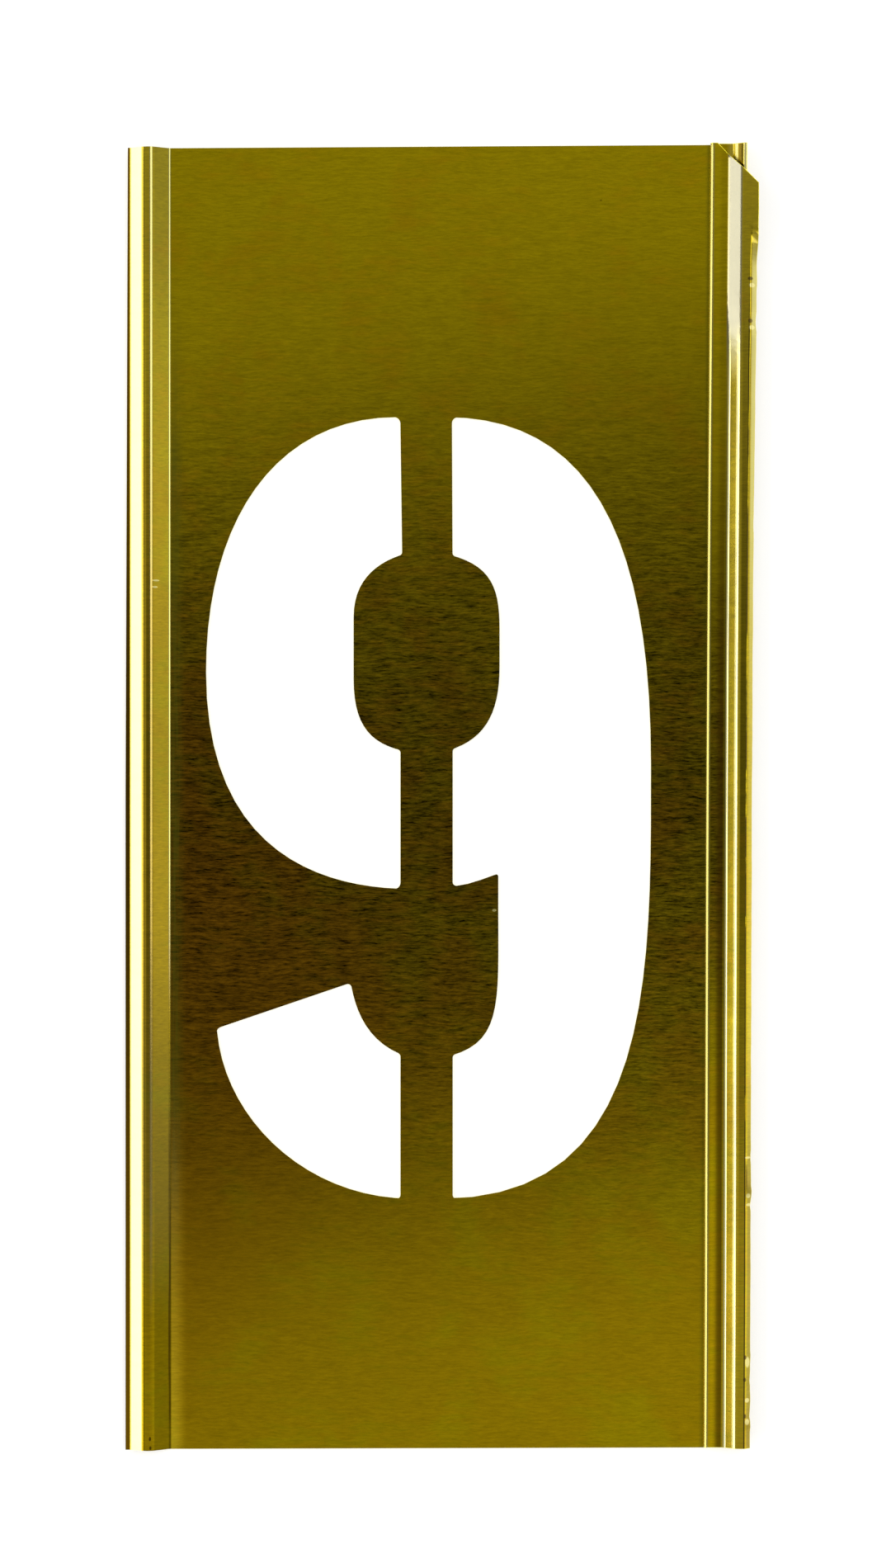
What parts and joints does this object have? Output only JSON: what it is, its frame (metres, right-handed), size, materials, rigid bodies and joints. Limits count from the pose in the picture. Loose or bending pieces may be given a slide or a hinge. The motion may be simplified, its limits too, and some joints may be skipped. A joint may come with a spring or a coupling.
{
  "type": "interlocking lettering stencil",
  "caption": "Sheet brass stencil with a cut-through numeral, a roll-formed tongue along one side and a folded lock rail along the other that holds the next stencil.",
  "frame": {"origin": "Middle of the plate on its back face, which is the face laid on the work.", "axes": "+X from the tongue to the lock rail, +Y to the top of the numeral, +Z out of the front face towards the reader."},
  "size_m": [0.1234, 0.2548, 0.0035],
  "materials": {
    "plate_brass": "rolled sheet brass, finely scratched and dulled by handling",
    "rail_brass": "rolled sheet brass, creased and lightly dented along the bent margin",
    "solder": "dull soft solder"
  },
  "bodies": {
    "root": {"stencil_plate": "plate_brass", "lock_rail": "rail_brass", "solder_seam": "solder"}
  },
  "joints": []
}
